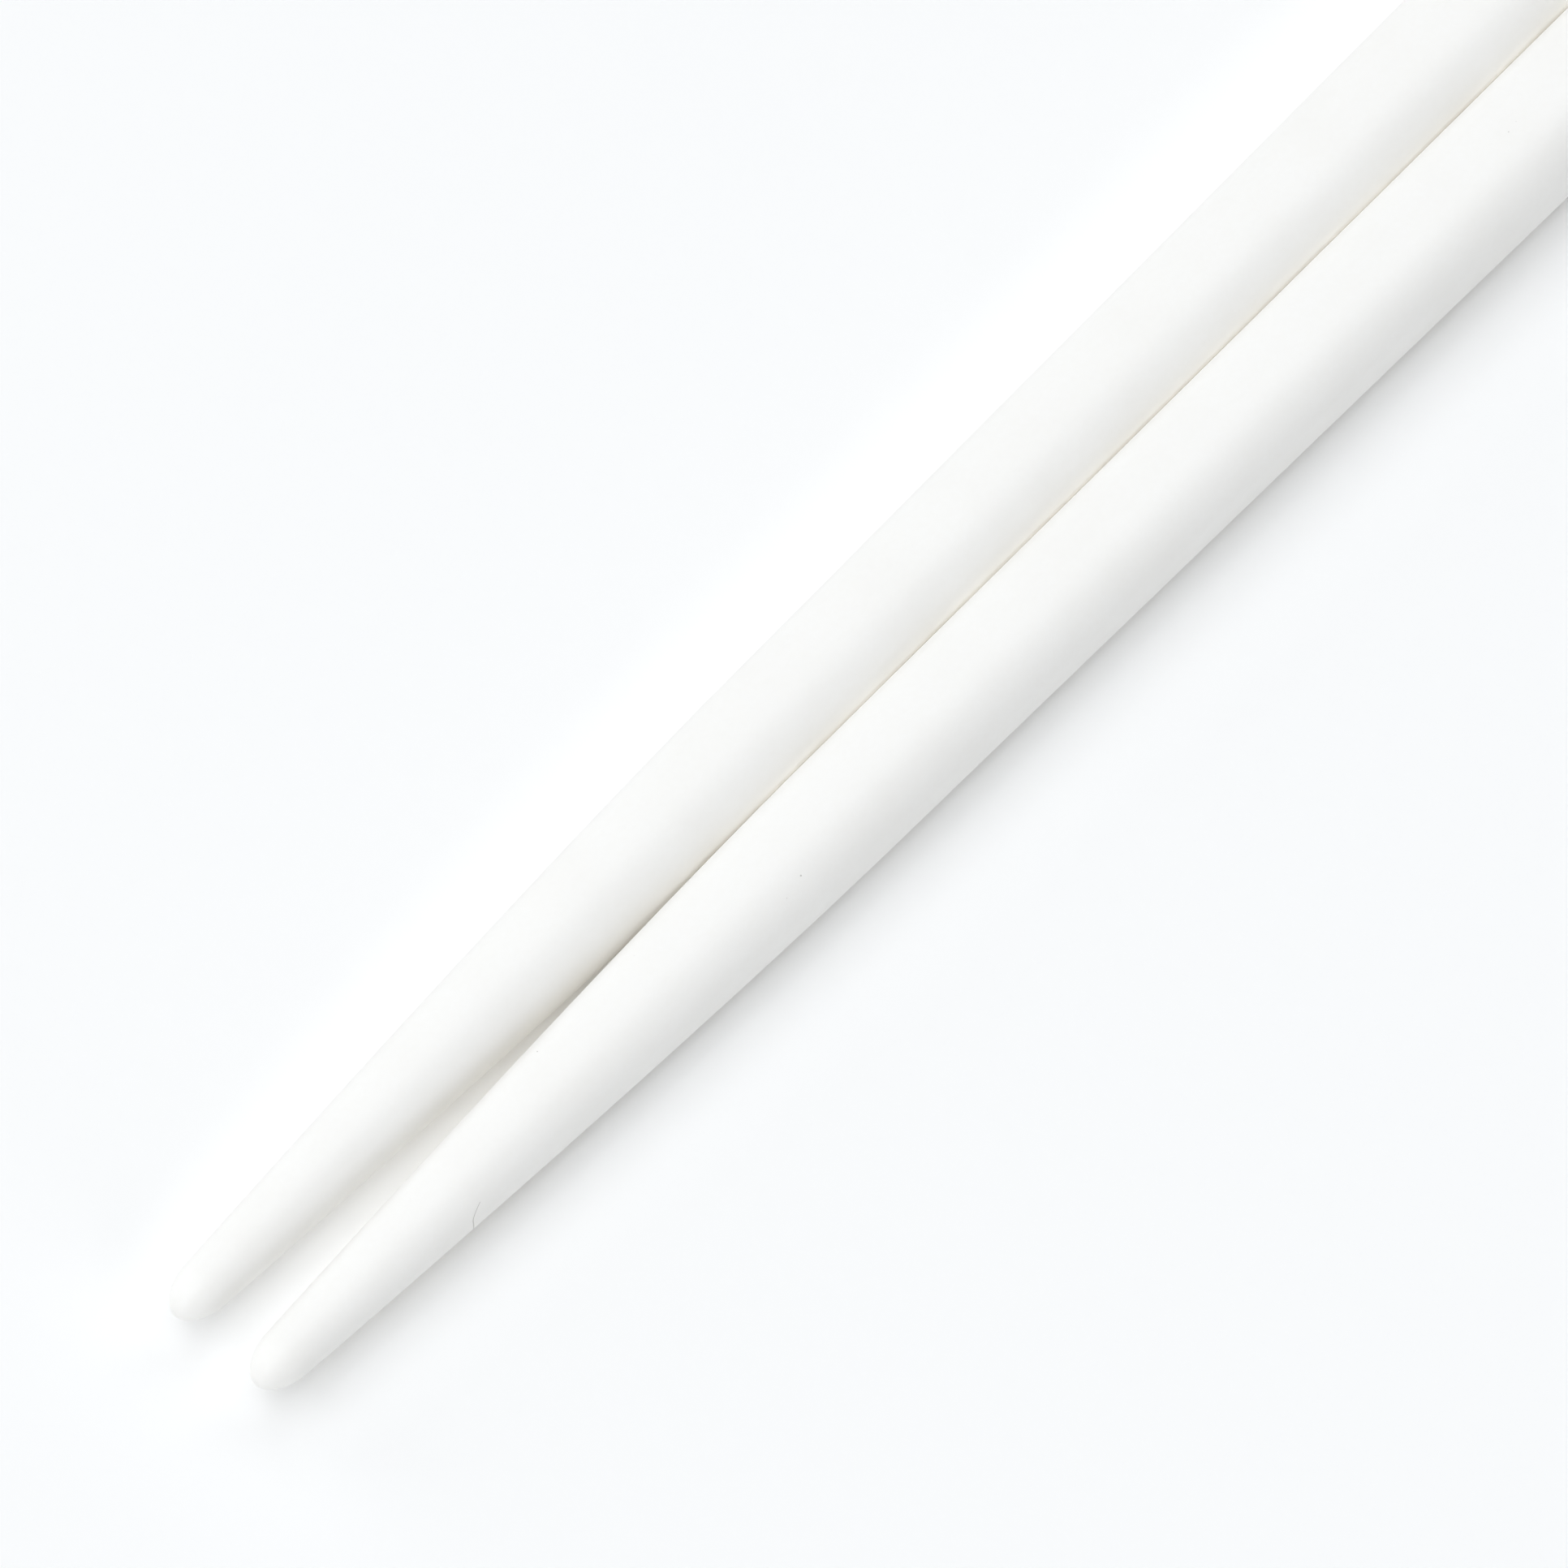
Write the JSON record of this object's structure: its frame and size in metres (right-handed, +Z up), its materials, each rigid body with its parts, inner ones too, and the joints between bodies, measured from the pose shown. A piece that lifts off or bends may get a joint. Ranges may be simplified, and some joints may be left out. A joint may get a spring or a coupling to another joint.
{
  "type": "chopsticks",
  "caption": "Smooth white moulded chopsticks side by side: rounded-square bars that taper to blunt round tips, which open and close to pinch food",
  "frame": {"origin": "on the table, in the middle of the footprint of the two sticks lying side by side", "axes": "+X runs from the eating tips to the butts, +Z is up, and the moving stick is on the -Y side"},
  "size_m": [0.225, 0.016, 0.008],
  "materials": {
    "white_plastic": "satin, fine moulded surface"
  },
  "bodies": {
    "still_chopstick": {"still_chopstick": "white_plastic"},
    "moving_chopstick": {"moving_chopstick": "white_plastic"}
  },
  "joints": [
    {"name": "tips_open", "type": "hinge", "parent": "still_chopstick", "child": "moving_chopstick", "pos_m": [0.1125, 0, 0.004], "axis": [0, 0, 1], "range_deg": [0, 15]}
  ]
}
